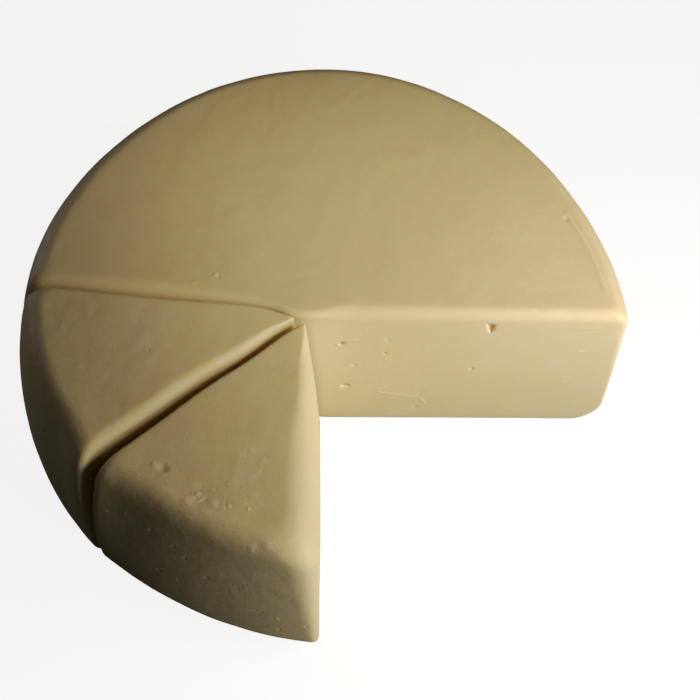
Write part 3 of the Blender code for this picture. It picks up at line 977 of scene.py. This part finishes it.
class KASSERI_OT_left_wedge(bpy.types.Operator):
    """Makes the wedge on the left"""

    bl_idname = "kasseri.left_wedge"
    bl_label = "Left Wedge"

    def execute(self, context):
        finish_piece(LEFT_WEDGE, 23, (0.31, 0.12, 0.05), "left_wedge")
        return {"FINISHED"}


class KASSERI_OT_front_wedge(bpy.types.Operator):
    """Makes the wedge in front"""

    bl_idname = "kasseri.front_wedge"
    bl_label = "Front Wedge"

    def execute(self, context):
        finish_piece(FRONT_WEDGE, 37, (0.17, 0.44, 0.21), "front_wedge")
        return {"FINISHED"}


def hang_light(kind, name, colour, power, aim, azimuth, elevation, distance):
    """A light turned to a point, at angles counterclockwise from X and up, in degrees."""
    level, lift = heading(azimuth), math.radians(elevation)
    away = Vector((level.real * math.cos(lift), level.imag * math.cos(lift), math.sin(lift)))
    light = bpy.data.lights.new(name, kind)
    light.energy = power
    light.color = colour
    made = bpy.data.objects.new(name, light)
    made.location = aim + away * distance
    made.rotation_mode = "QUATERNION"
    made.rotation_quaternion = (-away).to_track_quat("-Z", "Y")
    bpy.context.scene.collection.objects.link(made)
    return light


def camera_matrix(eye, turn, down, roll):
    """Where the camera is and how it looks: turned to the right, tilted down and rolled, in degrees."""
    turn, down, roll = (math.radians(angle) for angle in (turn, down, roll))
    ahead = Vector((math.sin(turn) * math.cos(down), math.cos(turn) * math.cos(down), -math.sin(down)))
    level = Vector((math.cos(turn), -math.sin(turn), 0.0))
    upright = level.cross(ahead)
    right = math.cos(roll) * level + math.sin(roll) * upright
    up = -math.sin(roll) * level + math.cos(roll) * upright
    return Matrix((
        (right.x, up.x, -ahead.x, eye[0]),
        (right.y, up.y, -ahead.y, eye[1]),
        (right.z, up.z, -ahead.z, eye[2]),
        (0.0, 0.0, 0.0, 1.0),
    ))


def table_material(tone):
    """A pale matt table, a little uneven in tone, which glows for the camera alone.

    So it is pale beside the cheese and still throws little light back up at it.
    """
    material = bpy.data.materials.new("pale_table")
    material.use_nodes = True
    tree = material.node_tree
    link = tree.links.new
    shader = tree.nodes["Principled BSDF"]
    place = add_node(tree, "ShaderNodeTexCoord", (-900, 0))
    cloud = add_node(tree, "ShaderNodeTexNoise", (-700, 0), Scale=3.0, Detail=3.0)
    link(place.outputs["Object"], cloud.inputs["Vector"])
    seen = mix_colours(
        tree, (-450, 100), cloud.outputs[0],
        (tone, tone, tone * 0.99, 1), (tone * 1.02, tone * 1.02, tone * 1.01, 1),
    )
    path = add_node(tree, "ShaderNodeLightPath", (-700, 300))
    glow = mix_colours(tree, (-250, 300), path.outputs["Is Camera Ray"], (0, 0, 0, 1), seen)
    link(glow, shader.inputs["Emission Color"])
    shader.inputs["Emission Strength"].default_value = 1.0
    darker, paler = (0.10, 0.10, 0.10, 1), (0.30, 0.30, 0.30, 1)
    shade = mix_colours(tree, (-250, 100), path.outputs["Is Camera Ray"], darker, paler)
    link(shade, shader.inputs["Base Color"])
    material.cycles.emission_sampling = "NONE"
    shader.inputs["Roughness"].default_value = 0.85
    shader.inputs["Specular IOR Level"].default_value = 0.2
    return material


def add_table(tone):
    """A large flat table under the cheese."""
    shape = bmesh.new()
    bmesh.ops.create_grid(shape, x_segments=8, y_segments=8, size=3.0)
    mesh = bpy.data.meshes.new("table")
    shape.to_mesh(mesh)
    shape.free()
    table = bpy.data.objects.new("table", mesh)
    mesh.materials.append(table_material(tone))
    bpy.context.scene.collection.objects.link(table)


def set_air(strength):
    """A weak light from all round, and a pale backdrop where the camera sees past the table."""
    world = bpy.data.worlds.new("studio_air")
    world.use_nodes = True
    tree = world.node_tree
    back = tree.nodes["Background"]
    back.inputs["Color"].default_value = (1.0, 0.98, 0.95, 1)
    path = add_node(tree, "ShaderNodeLightPath", (-500, 0))
    seen = add_node(tree, "ShaderNodeMix", (-250, 0), data_type="FLOAT")
    seen.inputs[2].default_value = strength
    seen.inputs[3].default_value = BACKDROP_TONE
    tree.links.new(path.outputs["Is Camera Ray"], seen.inputs[0])
    tree.links.new(seen.outputs[0], back.inputs["Strength"])
    bpy.context.scene.world = world


def press_bright_tones(view):
    """Shows dark and middle tones as they are and presses bright ones together, as photographs do."""
    view.view_transform = "Standard"
    view.use_curve_mapping = True
    tones = view.curve_mapping
    tones.extend = "EXTRAPOLATED"
    curve = tones.curves[3]
    for tone in (SHOULDER / 2, SHOULDER, 1.5 * SHOULDER, 2 * SHOULDER, 3 * SHOULDER):
        curve.points.new(tone, shown_tone(tone))
    curve.points[-1].location = (1.0, shown_tone(1.0))
    tones.update()


def shown_tone(tone):
    """The brightness that is shown for a bright or dark tone."""
    return tone if tone < SHOULDER else SHOULDER * (tone / SHOULDER) ** SHOULDER_SLOPE


class KASSERI_OT_stage(bpy.types.Operator):
    """Sets the table, the lights and the camera"""

    bl_idname = "kasseri.stage"
    bl_label = "Table, Light and Camera"

    def execute(self, context):
        stage = context.scene.kasseri_stage
        add_table(stage.table_tone)
        key = hang_light("AREA", "key_light", KEY_COLOUR, stage.key_power, CHEESE_MIDDLE, -40, 17, 0.38)
        key.size = KEY_SIZE
        side = hang_light("AREA", "side_light", SIDE_COLOUR, stage.side_power, RIGHT_OF_TOP, -30, 35, 0.32)
        side.size = SIDE_SIZE
        pool = hang_light("SPOT", "pool_light", SIDE_COLOUR, stage.pool_power, MIDDLE_OF_TOP, -30, 42, 1.0)
        pool.spot_size, pool.spot_blend, pool.shadow_soft_size = POOL_CONE, 1.0, POOL_RADIUS
        fill = hang_light("AREA", "fill_light", KEY_COLOUR, stage.fill_power, CHEESE_MIDDLE, 150, 12, 0.65)
        fill.size = FILL_SIZE
        set_air(stage.air_light)
        lens = bpy.data.cameras.new("camera")
        lens.lens, lens.sensor_width, lens.clip_start = stage.lens, 36.0, 0.01
        camera = bpy.data.objects.new("camera", lens)
        camera.matrix_world = camera_matrix(CAMERA_EYE, CAMERA_TURN, CAMERA_DOWN, CAMERA_ROLL)
        context.scene.collection.objects.link(camera)
        context.scene.camera = camera
        press_bright_tones(context.scene.view_settings)
        return {"FINISHED"}


class KASSERI_PT_panel(bpy.types.Panel):
    """The steps and values of the cut wheel"""

    bl_idname = "KASSERI_PT_panel"
    bl_label = "Cut Kasseri Wheel"
    bl_space_type = "VIEW_3D"
    bl_region_type = "UI"
    bl_category = "Kasseri"

    def draw(self, context):
        for operator in STEPS:
            self.layout.operator(operator.bl_idname)
        for group in (context.scene.kasseri_shape, context.scene.kasseri_looks, context.scene.kasseri_stage):
            box = self.layout.box()
            for name in group.__annotations__:
                box.prop(group, name)


STEPS = (KASSERI_OT_back_piece, KASSERI_OT_left_wedge, KASSERI_OT_front_wedge, KASSERI_OT_stage)
GROUPS = {"kasseri_shape": KasseriShape, "kasseri_looks": KasseriLooks, "kasseri_stage": KasseriStage}


def register():
    """Adds the classes and the values that they keep on the scene."""
    for made in (*GROUPS.values(), *STEPS, KASSERI_PT_panel):
        bpy.utils.register_class(made)
    for name, group in GROUPS.items():
        setattr(bpy.types.Scene, name, bpy.props.PointerProperty(type=group))


def unregister():
    """Takes them away again."""
    for name in GROUPS:
        delattr(bpy.types.Scene, name)
    for made in (KASSERI_PT_panel, *reversed(STEPS), *GROUPS.values()):
        bpy.utils.unregister_class(made)


def main():
    """Builds the cheese and its stage."""
    register()
    bpy.ops.kasseri.back_piece()
    bpy.ops.kasseri.left_wedge()
    bpy.ops.kasseri.front_wedge()
    bpy.ops.kasseri.stage()


if __name__ == "__main__":
    main()
